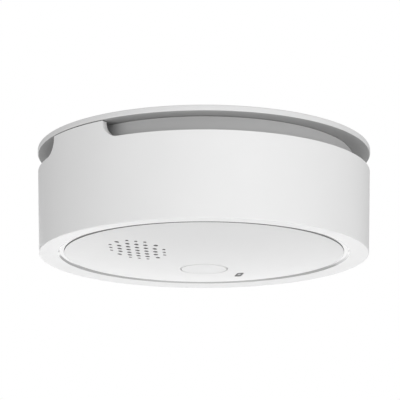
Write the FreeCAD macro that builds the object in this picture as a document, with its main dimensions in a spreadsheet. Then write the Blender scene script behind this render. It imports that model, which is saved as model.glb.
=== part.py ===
"""Round ceiling smoke alarm, modelled as the parts it comes apart into.

The origin is the centre of the ceiling face of the mounting plate, +Z points up into the ceiling and the
alarm hangs below it, so every level is a negative height. X and Y run along the rows of sounder holes.
"""
import FreeCAD, Part
import math
import os
import Sketcher
from FreeCAD import Placement, Rotation, Vector

doc = FreeCAD.newDocument("CeilingAlarm")
sheet = doc.addObject("Spreadsheet::Sheet", "Sizes")

DIMENSIONS = {
    # outside shape
    "plate_radius": 60.0,
    "plate_thickness": 2.0,
    "cover_radius": 59.9,
    "ring_radius": 58.75,
    "ring_depth": 38.3,
    "slot_height": 6.5,
    "running_gap": 0.35,
    "drum_gap": 0.1,
    "lug_width": 26.2,
    "lug_corner": 6.0,
    "edge_round": 0.45,
    # outer wall and bottom ring
    "cover_wall": 2.4,
    "ring_thickness": 2.7,
    "ring_rise": 0.5,
    "ring_round": 0.3,
    "ring_inner_radius": 52.0,
    "groove_depth": 0.6,
    "lip_radius": 48.0,
    "lip_thickness": 1.0,
    "spacer_width": 1.6,
    "spacer_height": 10.0,
    # domed panel
    "panel_radius": 49.85,
    "panel_thickness": 1.8,
    "apex_depth": 43.2,
    "dome_curve": 220.0,
    "post_circle": 44.0,
    "post_radius": 3.6,
    "post_hole": 1.45,
    "collar_wall": 1.5,
    "collar_height": 3.3,
    "seat_wall": 1.4,
    # sounder holes
    "grille_x": -22.3,
    "grille_y": -22.3,
    "grille_pitch": 3.08,
    "grille_corner": 6.7,
    "grille_hole": 0.75,
    "grille_small_hole": 0.55,
    # button
    "button_radius": 8.15,
    "button_gap": 0.25,
    "button_flange": 10.3,
    "spring_radius": 6.2,
    "spring_wire": 0.6,
    # indicator lens
    "lens_x": 12.4,
    "lens_y": 13.6,
    "lens_width": 2.5,
    "lens_length": 9.4,
    # drum
    "drum_radius": 53.6,
    "drum_wall": 2.0,
    "drum_lip_radius": 49.0,
    "roof_depth": 6.0,
    "roof_thickness": 1.8,
    "inlet_width": 5.0,
    "inlet_height": 10.0,
    # bayonet
    "hook_radius": 46.0,
    "hook_neck": 1.8,
    "hook_reach": 3.2,
    "hook_height": 1.4,
    "hook_angle": 10.0,
    "twist_angle": 15.0,
    "screw_offset": 30.0,
    "screw_slot_width": 4.4,
    "screw_slot_length": 10.0,
    "rib_height": 2.4,
    "rib_thickness": 1.2,
    # screws that hold the head together
    "head_radius": 2.8,
    "head_height": 1.9,
    "shank_radius": 1.4,
    "shank_length": 12.0,
    # circuit board
    "board_depth": 26.0,
    "board_thickness": 1.6,
    "board_radius": 48.6,
    "switch_height": 3.5,
    # smoke chamber
    "chamber_x": 16.0,
    "chamber_y": 16.0,
    "chamber_radius": 22.5,
    "chamber_top": 10.4,
    "diode_radius": 2.5,
    "diode_height": 5.0,
    # battery
    "battery_offset": 31.8,
    "battery_depth": 16.8,
    "battery_radius": 8.4,
    "battery_length": 34.0,
    # sounder
    "sounder_radius": 16.0,
    "sounder_bottom": 34.5,
}


class Size:
    """A length that keeps the sheet expression it came from, so that geometry can be bound to it."""

    def __init__(self, value, text):
        self.value = float(value)
        self.text = text

    def _with(self, other, sign, value):
        return Size(value, "(%s %s %s)" % (self.text, sign, size(other).text))

    def __add__(self, other):
        return self._with(other, "+", self.value + size(other).value)

    def __sub__(self, other):
        return self._with(other, "-", self.value - size(other).value)

    def __mul__(self, other):
        return self._with(other, "*", self.value * size(other).value)

    def __truediv__(self, other):
        return self._with(other, "/", self.value / size(other).value)

    def __neg__(self):
        return size(0) - self


def size(number):
    return number if isinstance(number, Size) else Size(number, "%.6f" % number)


def write_sheet():
    for row, (name, value) in enumerate(DIMENSIONS.items(), 1):
        sheet.set("A%d" % row, name)
        sheet.set("B%d" % row, str(value))
        sheet.setAlias("B%d" % row, name)
    doc.recompute()


class Sheet:
    """Named access to the sheet's cells, such as S.plate_radius."""

    def __getattr__(self, name):
        return Size(sheet.get(name), "Sizes.%s" % name)


S = Sheet()


def bind(item, name, length):
    """Set a property of an object to a size and keep it bound to the sheet."""
    length = size(length)
    if "." not in name:
        setattr(item, name, length.value)
    item.setExpression(name, length.text)


# ---------------------------------------------------------------- sketches


def new_body(label):
    body = doc.addObject("PartDesign::Body", label)
    body.Label = label
    return body


def new_sketch(body, role, offset=0, turn=0):
    """A sketch on one of the body's own origin planes, raised by offset and turned about its upright."""
    sketch = body.newObject("Sketcher::SketchObject", body.Label + "_sketch")
    plane = next(item for item in body.Origin.OriginFeatures if item.Role == role)
    sketch.AttachmentSupport = (plane, [""])
    sketch.MapMode = "FlatFace"
    offset = size(offset)
    upright = Vector(0, 0, 1) if role == "XY_Plane" else Vector(0, 1, 0)
    sketch.AttachmentOffset = Placement(Vector(0, 0, offset.value), Rotation(upright, turn))
    sketch.setExpression("AttachmentOffset.Base.z", offset.text)
    return sketch


def pin(sketch, geometry, point, x, y):
    """Hold one point of a sketch at bound coordinates."""
    for kind, axis, length in (("DistanceX", -2, size(x)), ("DistanceY", -1, size(y))):
        if abs(length.value) < 1e-9:
            sketch.addConstraint(Sketcher.Constraint("PointOnObject", geometry, point, axis))
        else:
            index = sketch.addConstraint(Sketcher.Constraint(kind, geometry, point, length.value))
            sketch.setExpression("Constraints[%d]" % index, length.text)


def arc_on_axis(start, end):
    """The arc between two points whose centre lies on the upright axis, and whether it runs backwards."""
    (x0, y0), (x1, y1) = start, end
    centre = (x1 ** 2 + y1 ** 2 - x0 ** 2 - y0 ** 2) / (2 * (y1 - y0))
    ring = Part.Circle(Vector(0, centre, 0), Vector(0, 0, 1), math.hypot(x0, y0 - centre))
    angles = [math.atan2(y - centre, x) for x, y in (start, end)]
    return Part.ArcOfCircle(ring, min(angles), max(angles)), angles[0] > angles[1]


def outline(sketch, points, arcs=()):
    """A closed outline through bound points; the sides named in arcs curve about the upright axis."""
    places = [(size(x).value, size(y).value) for x, y in points]
    starts = []
    ends = []
    for side, start in enumerate(places):
        end = places[(side + 1) % len(places)]
        backwards = False
        curve = None
        if side in arcs:
            curve, backwards = arc_on_axis(start, end)
        else:
            curve = Part.LineSegment(Vector(*start, 0), Vector(*end, 0))
        index = sketch.addGeometry(curve, False)
        if side in arcs:
            sketch.addConstraint(Sketcher.Constraint("PointOnObject", index, 3, -2))
        starts.append((index, 2 if backwards else 1))
        ends.append((index, 1 if backwards else 2))
    for side, (x, y) in enumerate(points):
        following = starts[(side + 1) % len(places)]
        sketch.addConstraint(Sketcher.Constraint("Coincident", *ends[side], *following))
        pin(sketch, *starts[side], x, y)


def rectangle(sketch, x0, x1, y0, y1):
    outline(sketch, [(x0, y0), (x1, y0), (x1, y1), (x0, y1)])


def circle(sketch, x, y, radius):
    radius = size(radius)
    centre = Vector(size(x).value, size(y).value, 0)
    index = sketch.addGeometry(Part.Circle(centre, Vector(0, 0, 1), radius.value), False)
    pin(sketch, index, 3, x, y)
    limit = sketch.addConstraint(Sketcher.Constraint("Radius", index, radius.value))
    sketch.setExpression("Constraints[%d]" % limit, radius.text)


def pill(sketch, x, y, half_width, half_length, along_x=False):
    """A slot shape with round ends, centred on x, y."""
    x, y, half_width = size(x), size(y), size(half_width)
    reach = size(half_length) - half_width
    shift_x, shift_y = (reach, size(0)) if along_x else (size(0), reach)
    step = Vector(shift_x.value, shift_y.value, 0)
    aside = Vector(-step.y, step.x, 0).normalize() * half_width.value
    first_turn = -math.pi / 2 if along_x else 0.0
    ends = []
    sides = []
    for sign, turn in ((1, first_turn), (-1, first_turn + math.pi)):
        centre = Vector(x.value, y.value, 0) + step * sign
        ring = Part.Circle(centre, Vector(0, 0, 1), half_width.value)
        ends.append(sketch.addGeometry(Part.ArcOfCircle(ring, turn, turn + math.pi), False))
        begin = centre + aside * sign
        sides.append(sketch.addGeometry(Part.LineSegment(begin, begin - step * (2 * sign)), False))
    for index in (0, 1):
        sketch.addConstraint(Sketcher.Constraint("Tangent", ends[index], 2, sides[index], 1))
        sketch.addConstraint(Sketcher.Constraint("Tangent", sides[index], 2, ends[1 - index], 1))
    for index, sign in ((0, 1), (1, -1)):
        pin(sketch, ends[index], 3, x + shift_x * sign, y + shift_y * sign)
    limit = sketch.addConstraint(Sketcher.Constraint("Radius", ends[0], half_width.value))
    sketch.setExpression("Constraints[%d]" % limit, half_width.text)


# ---------------------------------------------------------------- features


def volume(body):
    doc.recompute()
    shape = body.Tip.Shape if body.Tip else None
    return shape.Volume if shape and not shape.isNull() else 0.0


def feature(body, kind, draw, role, offset=0, turn=0):
    sketch = new_sketch(body, role, offset, turn)
    draw(sketch)
    item = body.newObject("PartDesign::" + kind, body.Label + "_" + kind.lower())
    item.Profile = sketch
    return item, sketch


def changed(body, before, sign):
    """Stop if a feature that should add or remove material did neither."""
    if (volume(body) - before) * sign <= 0:
        raise RuntimeError("a feature of %s changed nothing" % body.Label)


def pad(body, draw, low, high, turn=0):
    """Material between two levels."""
    before = volume(body)
    item, _ = feature(body, "Pad", draw, "XY_Plane", low, turn)
    bind(item, "Length", size(high) - low)
    changed(body, before, 1)
    return item


def pocket(body, draw, low, high, turn=0):
    """A cut between two levels."""
    before = volume(body)
    item, _ = feature(body, "Pocket", draw, "XY_Plane", high, turn)
    bind(item, "Length", size(high) - low)
    changed(body, before, -1)
    return item


def side_pocket(body, draw, length, offset=0, turn=0, role="XZ_Plane", symmetric=False):
    """A sideways cut from an upright plane."""
    before = volume(body)
    item, _ = feature(body, "Pocket", draw, role, offset, turn)
    bind(item, "Length", length)
    if symmetric:
        item.SideType = "Symmetric"
    changed(body, before, -1)
    return item


def turned(body, points, arcs=(), angle=360, turn=0, cut=False):
    """A profile of radius and height turned about Z, all the way or through an angle centred on turn."""
    before = volume(body)
    kind = "Groove" if cut else "Revolution"
    item, sketch = feature(body, kind, lambda s: outline(s, points, arcs), "XZ_Plane", 0, turn)
    item.ReferenceAxis = (sketch, ["V_Axis"])
    if size(angle).value < 360:
        item.Midplane = True
    bind(item, "Angle", angle)
    changed(body, before, -1 if cut else 1)
    return item


def around(body, items, count):
    """Repeat features about Z."""
    before = volume(body)
    sign = -1 if items[0].TypeId in ("PartDesign::Pocket", "PartDesign::Groove") else 1
    pattern = body.newObject("PartDesign::PolarPattern", body.Label + "_pattern")
    pattern.Originals = items
    axis = next(item for item in body.Origin.OriginFeatures if item.Role == "Z_Axis")
    pattern.Axis = (axis, [""])
    pattern.Angle = 360
    pattern.Occurrences = count
    body.Tip = pattern
    changed(body, before, sign)
    return pattern


def soften(body, radius, wanted):
    """Fillet the edges for which wanted(edge) holds."""
    doc.recompute()
    base = body.Tip
    names = ["Edge%d" % (i + 1) for i, edge in enumerate(base.Shape.Edges) if wanted(edge)]
    item = body.newObject("PartDesign::Fillet", body.Label + "_fillet")
    item.Base = (base, names)
    bind(item, "Radius", radius)
    doc.recompute()
    return item


def ring_edge(radius, level):
    """True for round edges of about this radius at this level."""
    def test(edge):
        curve = edge.Curve
        round_edge = hasattr(curve, "Radius") and abs(curve.Radius - size(radius).value) < 0.01
        return round_edge and abs(curve.Center.z - size(level).value) < 0.01
    return test


def place(body, x=0, y=0, z=0, turn=0, axis=(0, 0, 1)):
    """Move a body to bound coordinates."""
    body.Placement = Placement(Vector(*(size(v).value for v in (x, y, z))), Rotation(Vector(*axis), turn))
    for name, length in (("x", x), ("y", y), ("z", z)):
        body.setExpression("Placement.Base." + name, size(length).text)


def disc(x, y, radius):
    return lambda sketch: circle(sketch, x, y, radius)


def annulus(x, y, inner, outer):
    def draw(sketch):
        circle(sketch, x, y, inner)
        circle(sketch, x, y, outer)
    return draw


def box(x, y, half_x, half_y):
    x, y = size(x), size(y)
    return lambda sketch: rectangle(sketch, x - half_x, x + half_x, y - half_y, y + half_y)


write_sheet()

# ---------------------------------------------------------------- levels and shared sizes

PLATE_UNDER = -S.plate_thickness
RIM_TOP = PLATE_UNDER - S.running_gap
DRUM_TOP = PLATE_UNDER - S.drum_gap
SLOT_FLOOR = PLATE_UNDER - S.slot_height
RING_FACE = -S.ring_depth
RING_BACK = RING_FACE + S.ring_thickness
LIP_UNDER = RING_BACK - S.lip_thickness
APEX = -S.apex_depth
ROOF_TOP = -S.roof_depth
ROOF_UNDER = ROOF_TOP - S.roof_thickness
BOARD_TOP = -S.board_depth
BOARD_UNDER = BOARD_TOP - S.board_thickness
DRUM_INNER = S.drum_radius - S.drum_wall
FOOT_TOP = ROOF_UNDER - 0.2
FOOT_BOTTOM = FOOT_TOP - S.hook_height
BUTTON_FACE = APEX + 0.12
BUTTON_SEAT = APEX + S.panel_thickness + 0.2
SWITCH_BOTTOM = BOARD_UNDER - S.switch_height
SOUNDER_BOTTOM = -S.sounder_bottom
GASKET_BOTTOM = RING_BACK
CLEARANCE = 0.05
TUBE_RADIUS = S.post_radius + 0.8
HOOK_COUNT = 4
HOOK_TURN = 45
POST_COUNT = 4
SCREW_SEAT = BOARD_TOP + 2.5
LENS_BACK = APEX + 4
LENS_TURN = 9
LUG_TURN = -45.65
LENS_COS = math.cos(math.radians(LENS_TURN))
LENS_SIN = math.sin(math.radians(LENS_TURN))
LENS_CENTRE = (S.lens_x * LENS_COS + S.lens_y * LENS_SIN, S.lens_y * LENS_COS - S.lens_x * LENS_SIN)
THROUGH = 0.5


def dome_level(radius, inset=0):
    """Height of the panel's outer dome, moved inwards by inset, at a distance from the axis."""
    radius = size(radius)
    return APEX + inset + radius * radius / (S.dome_curve * 2)


def dome_cut(body, inset, side):
    """Remove what lies below or above the dome surface moved inwards by inset."""
    far = size(52)
    edge = (far, dome_level(far, inset))
    middle = (size(0), dome_level(0, inset))
    limit = -size(60) if side == "below" else -size(20)
    corners = [middle, edge, (far, limit), (size(0), limit)]
    return turned(body, corners, arcs=(0,), cut=True)


# ---------------------------------------------------------------- ceiling plate


def mounting_plate():
    """Disc that is screwed to the ceiling, with the rib and hooks that hold the alarm head.

    Each hook has a window above its foot, through which the mould forms the top of the foot.
    """
    body = new_body("mounting_plate")
    pad(body, disc(0, 0, S.plate_radius), PLATE_UNDER, 0)
    for level in (0, PLATE_UNDER):
        soften(body, S.edge_round, ring_edge(S.plate_radius, level))
    rib_outer = DRUM_INNER - 0.3
    pad(body, annulus(0, 0, rib_outer - S.rib_thickness, rib_outer), PLATE_UNDER - S.rib_height, PLATE_UNDER)
    neck_outer = S.hook_radius + S.hook_neck / 2
    neck_inner = neck_outer - S.hook_neck
    foot_inner = neck_inner - S.hook_reach
    root = PLATE_UNDER + THROUGH
    hook = turned(body, [(neck_inner, root), (neck_outer, root), (neck_outer, FOOT_BOTTOM),
                         (foot_inner, FOOT_BOTTOM), (foot_inner, FOOT_TOP), (neck_inner, FOOT_TOP)],
                  angle=S.hook_angle, turn=HOOK_TURN)
    around(body, [hook], HOOK_COUNT)
    low, high = PLATE_UNDER - THROUGH, size(THROUGH)
    window = turned(body, [(foot_inner, low), (neck_inner, low), (neck_inner, high), (foot_inner, high)],
                    angle=S.hook_angle, turn=HOOK_TURN, cut=True)
    around(body, [window], HOOK_COUNT)
    half_width = S.screw_slot_width / 2
    half_length = S.screw_slot_length / 2

    def slots(sketch):
        for sign in (1, -1):
            offset = S.screw_offset * sign
            pill(sketch, offset, 0, half_width, half_length, along_x=True)
            pill(sketch, 0, offset, half_width, half_length)
    pocket(body, slots, PLATE_UNDER, 0)
    return body


# ---------------------------------------------------------------- drum


def rear_housing():
    """Drum behind the slot: roof with bayonet slots, inlet windows in the wall, tubes for the screws."""
    body = new_body("rear_housing")
    lip_top = RING_BACK + 1.4
    turned(body, [(size(0), ROOF_TOP), (DRUM_INNER, ROOF_TOP), (DRUM_INNER, DRUM_TOP),
                  (S.drum_radius, DRUM_TOP), (S.drum_radius, RING_BACK + CLEARANCE),
                  (S.drum_lip_radius, RING_BACK + CLEARANCE), (S.drum_lip_radius, lip_top),
                  (DRUM_INNER, lip_top), (DRUM_INNER, ROOF_UNDER), (size(0), ROOF_UNDER)])
    soften(body, S.edge_round / 3, ring_edge(S.drum_radius, DRUM_TOP))
    tube = pad(body, disc(S.post_circle, 0, TUBE_RADIUS), BOARD_TOP + CLEARANCE, ROOF_UNDER)
    around(body, [tube], POST_COUNT)
    well = pocket(body, disc(S.post_circle, 0, S.head_radius + 0.4), SCREW_SEAT, ROOF_TOP)
    hole = pocket(body, disc(S.post_circle, 0, S.shank_radius + 0.2), BOARD_TOP, SCREW_SEAT + THROUGH)
    around(body, [well, hole], POST_COUNT)
    slack = 0.9
    neck_outer = S.hook_radius + S.hook_neck / 2 + slack
    neck_inner = neck_outer - S.hook_neck - slack * 2
    foot_inner = neck_inner - S.hook_reach
    side_play = 1.4
    above, below = ROOF_TOP + THROUGH, ROOF_UNDER - THROUGH
    twist = S.twist_angle.value
    travel_slot = turned(body, [(neck_inner, above), (neck_outer, above), (neck_outer, below),
                                (neck_inner, below)],
                         angle=S.hook_angle + S.twist_angle + side_play, turn=HOOK_TURN + twist / 2,
                         cut=True)
    entry_slot = turned(body, [(foot_inner, above), (neck_outer, above), (neck_outer, below),
                               (foot_inner, below)],
                        angle=S.hook_angle + side_play, turn=HOOK_TURN + twist, cut=True)
    around(body, [travel_slot, entry_slot], HOOK_COUNT)
    inlet_top = ROOF_UNDER - 5
    window = side_pocket(body, lambda s: rectangle(s, -S.inlet_width / 2, S.inlet_width / 2,
                                                   inlet_top - S.inlet_height, inlet_top),
                         S.drum_wall * 2, offset=S.drum_radius + 1, role="YZ_Plane")
    around(body, [window], 32)
    return body


# ---------------------------------------------------------------- outer cover


def front_cover():
    """Tapered outer wall with the bottom ring and the two lugs that reach up to the plate.

    The ring rises slightly towards its hole and ends in a shallow groove with a sloped outer side. The
    panel's rim stands in the hole beside the groove, on the ledge that carries it.
    """
    body = new_body("front_cover")
    hole = S.panel_radius + 0.1
    groove_edge = RING_FACE + S.ring_rise
    groove_floor = groove_edge + S.groove_depth
    turned(body, [(S.cover_radius, RIM_TOP), (S.ring_radius, RING_FACE), (S.ring_inner_radius, groove_edge),
                  (S.ring_inner_radius - S.groove_depth, groove_floor), (hole, groove_floor),
                  (hole, LIP_UNDER), (S.lip_radius, LIP_UNDER), (S.lip_radius, RING_BACK),
                  (S.ring_radius - S.cover_wall, RING_BACK), (S.cover_radius - S.cover_wall, RIM_TOP)])
    soften(body, S.ring_round, ring_edge(S.ring_radius, RING_FACE))
    spacer = pad(body, lambda s: rectangle(s, S.drum_radius + 0.2, S.ring_radius - S.cover_wall + 0.8,
                                           -S.spacer_width / 2, S.spacer_width / 2),
                 RING_BACK - 0.2, RING_BACK + S.spacer_height, turn=22.5)
    around(body, [spacer], 8)
    for sign in (1, -1):
        side_pocket(body, lambda s: slot_side(s, sign), S.plate_radius * 3, turn=LUG_TURN,
                    symmetric=True)
    return body


def slot_side(sketch, sign):
    """Half of the slot as seen through the lugs: everything above its floor and beside the lug."""
    near = S.lug_width / 2 * sign
    far = S.plate_radius * 1.2 * sign
    corner = S.lug_corner
    floor = SLOT_FLOOR
    top = size(THROUGH)
    foot = near + corner * sign
    centre = Vector(foot.value, (floor + corner).value, 0)
    lines = [((near, floor + corner), (near, top)), ((near, top), (far, top)),
             ((far, top), (far, floor)), ((far, floor), (foot, floor))]
    for ends in lines:
        first, last = (Vector(x.value, y.value, 0) for x, y in ends)
        sketch.addGeometry(Part.LineSegment(first, last), False)
    begin, finish = (math.pi, math.pi * 1.5) if sign > 0 else (math.pi * 1.5, math.pi * 2)
    ring = Part.Circle(centre, Vector(0, 0, 1), corner.value)
    arc = sketch.addGeometry(Part.ArcOfCircle(ring, begin, finish), False)
    for index in range(3):
        sketch.addConstraint(Sketcher.Constraint("Coincident", index, 2, index + 1, 1))
    at_floor, at_side = (2, 1) if sign > 0 else (1, 2)
    sketch.addConstraint(Sketcher.Constraint("Coincident", 3, 2, arc, at_floor))
    sketch.addConstraint(Sketcher.Constraint("Coincident", 0, 1, arc, at_side))
    for index, (start, _) in enumerate(lines):
        pin(sketch, index, 1, *start)
    pin(sketch, 3, 2, foot, floor)
    limit = sketch.addConstraint(Sketcher.Constraint("Radius", arc, corner.value))
    sketch.setExpression("Constraints[%d]" % limit, corner.text)


# ---------------------------------------------------------------- domed panel and what sits in it


def grille_holes(sketch):
    """Seven by seven holes without the corners; the edge holes are smaller and the diagonals pushed out."""
    for row in range(-3, 4):
        for column in range(-3, 4):
            if abs(row) + abs(column) > 4:
                continue
            corner = abs(row) == 2 and abs(column) == 2
            step = S.grille_corner / 2 if corner else S.grille_pitch
            small = max(abs(row), abs(column)) == 3
            circle(sketch, S.grille_x + step * column, S.grille_y + step * row,
                   S.grille_small_hole if small else S.grille_hole)


def front_panel():
    """Domed panel that closes the bottom, with the sounder holes, the button's collar and four posts."""
    body = new_body("front_panel")
    rib_outer = S.lip_radius - 0.2
    rib_inner = rib_outer - S.seat_wall
    inner = S.panel_thickness
    edge = dome_level(S.panel_radius)
    turned(body, [(size(0), APEX), (S.panel_radius, edge), (S.panel_radius, LIP_UNDER - CLEARANCE),
                  (rib_outer, LIP_UNDER - CLEARANCE), (rib_outer, RING_BACK),
                  (rib_inner, RING_BACK), (rib_inner, dome_level(rib_inner, inner)),
                  (size(0), APEX + inner)], arcs=(0, 6))
    in_panel = APEX + inner / 2
    collar = S.button_flange + S.collar_wall + 0.2
    pad(body, disc(0, 0, collar), in_panel, BUTTON_SEAT)
    pad(body, annulus(0, 0, collar - S.collar_wall, collar), in_panel, BUTTON_SEAT + S.collar_height)
    pocket(body, disc(0, 0, S.button_radius + S.button_gap), APEX - 1, BUTTON_SEAT + 1)
    post_top = BOARD_UNDER - CLEARANCE
    post = pad(body, disc(S.post_circle, 0, S.post_radius), dome_level(S.post_circle, inner / 2), post_top)
    around(body, [post], POST_COUNT)
    hole_floor = SCREW_SEAT - S.shank_length - CLEARANCE
    screw_hole = pocket(body, disc(S.post_circle, 0, S.post_hole), hole_floor, BOARD_UNDER)
    around(body, [screw_hole], POST_COUNT)
    seat_outer = S.sounder_radius + 0.4
    seat = annulus(S.grille_x, S.grille_y, seat_outer - S.seat_wall, seat_outer)
    pad(body, seat, dome_level(0, inner / 2), GASKET_BOTTOM)
    dome_cut(body, 0, "below")
    pocket(body, grille_holes, APEX - 1, RING_BACK)
    pocket(body, lambda s: pill(s, *LENS_CENTRE, S.lens_width / 2 + 0.05, S.lens_length / 2 + 0.05),
           APEX - 1, RING_BACK, turn=LENS_TURN)
    return body


def indicator_lens():
    """Smoked lens, flush with the dome and held from behind by its flange."""
    body = new_body("indicator_lens")
    flange = 1.1
    half_width, half_length = S.lens_width / 2, S.lens_length / 2
    pad(body, lambda s: pill(s, *LENS_CENTRE, half_width + flange, half_length + flange),
        APEX + 1, LENS_BACK, turn=LENS_TURN)
    dome_cut(body, S.panel_thickness + CLEARANCE, "below")
    pad(body, lambda s: pill(s, *LENS_CENTRE, half_width, half_length), APEX - 1, LENS_BACK, turn=LENS_TURN)
    dome_cut(body, 0.1, "below")
    return body


def grille_membrane():
    """Thin dust membrane behind the sounder holes, following the dome."""
    body = new_body("grille_membrane")
    pad(body, disc(S.grille_x, S.grille_y, S.sounder_radius - 1.2), APEX, RING_BACK + 1)
    inner = S.panel_thickness + CLEARANCE
    dome_cut(body, inner, "below")
    dome_cut(body, inner + 0.3, "above")
    return body


def test_button():
    """Flush round button with the flange that stops it falling out and the stem that works the switch."""
    body = new_body("test_button")
    seat = BUTTON_SEAT + CLEARANCE
    stem = 2.6
    edge = 0.3
    stem_top = SWITCH_BOTTOM - 1.5
    turned(body, [(size(0), BUTTON_FACE), (S.button_radius - edge, BUTTON_FACE),
                  (S.button_radius, BUTTON_FACE + edge), (S.button_radius, seat), (S.button_flange, seat),
                  (S.button_flange, seat + 1), (size(stem), seat + 1), (size(stem), stem_top),
                  (size(0), stem_top)])
    return body


def button_spring():
    """Coil spring between the button's flange and the circuit board."""
    body = new_body("button_spring")
    wire = S.spring_wire / 2
    bottom = BUTTON_SEAT + CLEARANCE + 1 + wire + CLEARANCE
    top = BOARD_UNDER - wire - CLEARANCE
    coil, sketch = feature(body, "AdditiveHelix", disc(S.spring_radius, bottom, wire), "XZ_Plane")
    coil.ReferenceAxis = (sketch, ["V_Axis"])
    coil.Mode = "height-turns-angle"
    bind(coil, "Height", top - bottom)
    coil.Turns = 5
    changed(body, 0, 1)
    return body


PLUNGER_RADIUS = 1.65


def switch_body():
    """Tactile switch soldered under the board, over the button's stem."""
    body = new_body("switch_body")
    half = 3
    pad(body, box(0, 0, half, half), SWITCH_BOTTOM, BOARD_UNDER - CLEARANCE)
    pocket(body, disc(0, 0, PLUNGER_RADIUS + 0.1), SWITCH_BOTTOM, SWITCH_BOTTOM + 1.5)
    return body


def switch_plunger():
    """Plunger of the switch, its end just above the button's stem."""
    body = new_body("switch_plunger")
    pad(body, disc(0, 0, PLUNGER_RADIUS), SWITCH_BOTTOM - 1, SWITCH_BOTTOM + 0.9)
    return body


def status_led():
    """Light emitting diode that shines down through the lens."""
    body = new_body("status_led")
    top = BOARD_UNDER - CLEARANCE
    collar, barrel, tip = size(1.9), size(1.5), size(1.1)
    turned(body, [(size(0), top), (collar, top), (collar, top - 0.8), (barrel, top - 0.8),
                  (barrel, top - 3.2), (tip, top - 4.3), (size(0), top - 4.8)])
    place(body, S.lens_x, S.lens_y)
    return body


def led_shroud():
    """Rubber tube from the diode to the lens."""
    body = new_body("led_shroud")
    half_x, half_y = size(3.2), size(5.8)
    x, y = LENS_CENTRE
    wall = 0.9

    def draw(sketch):
        for inset in (0, wall):
            rectangle(sketch, x - half_x + inset, x + half_x - inset, y - half_y + inset, y + half_y - inset)
    pad(body, draw, LENS_BACK + 0.2, BOARD_UNDER - CLEARANCE, turn=LENS_TURN)
    return body


# ---------------------------------------------------------------- circuit board and screws


def main_board():
    """Round circuit board, held between the drum's tubes and the panel's posts."""
    body = new_body("main_board")
    pad(body, disc(0, 0, S.board_radius), BOARD_UNDER, BOARD_TOP)
    hole = pocket(body, disc(S.post_circle, 0, S.shank_radius + 0.3), BOARD_UNDER, BOARD_TOP)
    around(body, [hole], POST_COUNT)
    return body


def assembly_screws():
    """Four screws, heads down in the drum's tubes and threads in the panel's posts."""
    body = new_body("assembly_screws")
    seat = SCREW_SEAT + CLEARANCE
    top = seat + S.head_height
    head = pad(body, disc(S.post_circle, 0, S.head_radius), seat, top)
    shank = pad(body, disc(S.post_circle, 0, S.shank_radius), seat - S.shank_length, seat)
    around(body, [head, shank], POST_COUNT)

    def cross(sketch):
        arm, half = 1.5, 0.35
        x = S.post_circle
        corners = [(half, half), (half, arm), (-half, arm), (-half, half), (-arm, half), (-arm, -half),
                   (-half, -half), (-half, -arm), (half, -arm), (half, -half), (arm, -half), (arm, half)]
        outline(sketch, [(x + dx, size(dy)) for dx, dy in corners])
    recess = pocket(body, cross, top - 1.1, top)
    around(body, [recess], POST_COUNT)
    return body


def microcontroller():
    """Square chip on top of the board."""
    body = new_body("microcontroller")
    half = 3.5
    pad(body, box(-18, 24, half, half), BOARD_TOP + CLEARANCE, BOARD_TOP + 1.2)
    return body


def boost_inductor():
    """Bobbin-shaped inductor under the board."""
    body = new_body("boost_inductor")
    top = BOARD_UNDER - CLEARANCE
    flange, core = size(4), size(3.2)
    turned(body, [(size(0), top), (flange, top), (flange, top - 1), (core, top - 1),
                  (core, top - 5), (flange, top - 5), (flange, top - 6), (size(0), top - 6)])
    place(body, 24, -22)
    return body


def storage_capacitor():
    """Electrolytic capacitor standing on the board."""
    body = new_body("storage_capacitor")
    foot = BOARD_TOP + CLEARANCE
    top = foot + 10
    can, crimp = size(4), size(3.7)
    turned(body, [(size(0), foot), (can, foot), (can, foot + 1), (crimp, foot + 1.5),
                  (can, foot + 2), (can, top - 0.4), (can - 0.4, top), (size(0), top)])
    place(body, 22, -24)
    return body


# ---------------------------------------------------------------- battery


BATTERY_FLOOR = -(S.board_depth - S.battery_depth) + CLEARANCE
BATTERY_END = S.battery_length / 2
BATTERY_TURN = -45
CAP_RADIUS = size(3.2)


def battery_place(body):
    """The cell lies across the diagonal that points to the sounder."""
    offset = -S.battery_offset * math.sqrt(0.5)
    place(body, offset, offset, -S.battery_depth, turn=BATTERY_TURN)


def lay_down(body, turn):
    """Lay a body that was turned about its upright on its side, pointing along turn."""
    lying = Rotation(Vector(0, 0, 1), turn).multiply(Rotation(Vector(0, 1, 0), 90))
    body.Placement = Placement(body.Placement.Base, lying)


def battery_cell():
    """Long-life lithium cell with its raised cap."""
    body = new_body("battery_cell")
    half = BATTERY_END
    can = S.battery_radius
    turned(body, [(size(0), -half), (can - 0.6, -half), (can, -half + 0.6), (can, half - 1.6),
                  (can - 0.4, half - 1.2), (can - 0.6, half - 0.8), (CAP_RADIUS, half - 0.8),
                  (CAP_RADIUS, half), (size(0), half)])
    battery_place(body)
    lay_down(body, BATTERY_TURN)
    return body


def battery_cradle():
    """Tray on the board with a round bed for the cell."""
    body = new_body("battery_cradle")
    inside = BATTERY_END + 0.9
    pad(body, box(0, 0, inside + 1.5, 9.9), BATTERY_FLOOR, size(-1))
    bed = S.battery_radius + 0.1
    side_pocket(body, lambda s: circle(s, 0, 0, bed), inside * 2, role="YZ_Plane", symmetric=True)

    def tab_slots(sketch):
        for sign in (1, -1):
            low, high = sorted((BATTERY_END * sign, inside * sign), key=lambda item: item.value)
            rectangle(sketch, low, high, -CAP_RADIUS, CAP_RADIUS)
    pocket(body, tab_slots, BATTERY_FLOOR, size(-7))
    battery_place(body)
    return body


def battery_tab(label, sign):
    """Welded strip between the end of the cell and the board."""
    body = new_body(label)
    x = (BATTERY_END + 0.35) * sign
    pad(body, box(x, 0, 0.2, 3), BATTERY_FLOOR, size(3))
    battery_place(body)
    return body


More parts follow.
